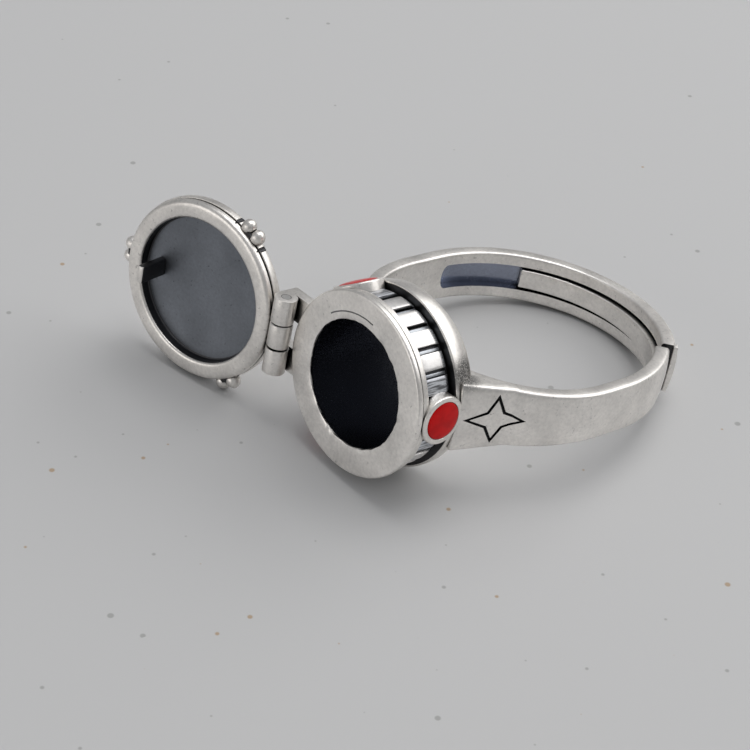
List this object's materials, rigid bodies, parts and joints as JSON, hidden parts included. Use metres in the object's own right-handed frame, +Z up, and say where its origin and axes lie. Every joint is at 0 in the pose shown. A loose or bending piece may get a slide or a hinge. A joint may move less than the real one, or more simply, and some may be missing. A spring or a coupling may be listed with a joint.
{
  "type": "poison ring",
  "caption": "Adjustable silver finger ring with a round hollow box, red enamel dots round its wall and a hinged round lid that stands open.",
  "frame": {"origin": "middle of the laid ring's bounding box, on the surface that it lies on", "axes": "+Z up; the ring lies on its side, the box's mouth looks to -Y and slightly up, the open lid is on the -X side"},
  "size_m": [0.0305, 0.0288, 0.0125],
  "materials": {
    "silver": "satin silver, oxidised black in the recesses",
    "lid_silver": "satin silver with an oxidised dark dish",
    "pin_silver": "satin silver wire",
    "enamel": "glossy red enamel"
  },
  "bodies": {
    "ring": {"shank_box": "silver", "enamel_1": "enamel", "enamel_2": "enamel", "enamel_3": "enamel", "hinge_pin": "pin_silver"},
    "lid": {"lid": "lid_silver"}
  },
  "joints": [
    {"name": "lid_hinge", "type": "hinge", "parent": "ring", "child": "lid", "pos_m": [-0.00147, -0.0104, 0.00632], "axis": [-0.0554, 0.1993, 0.9784], "range_deg": [0, 168.1]}
  ]
}
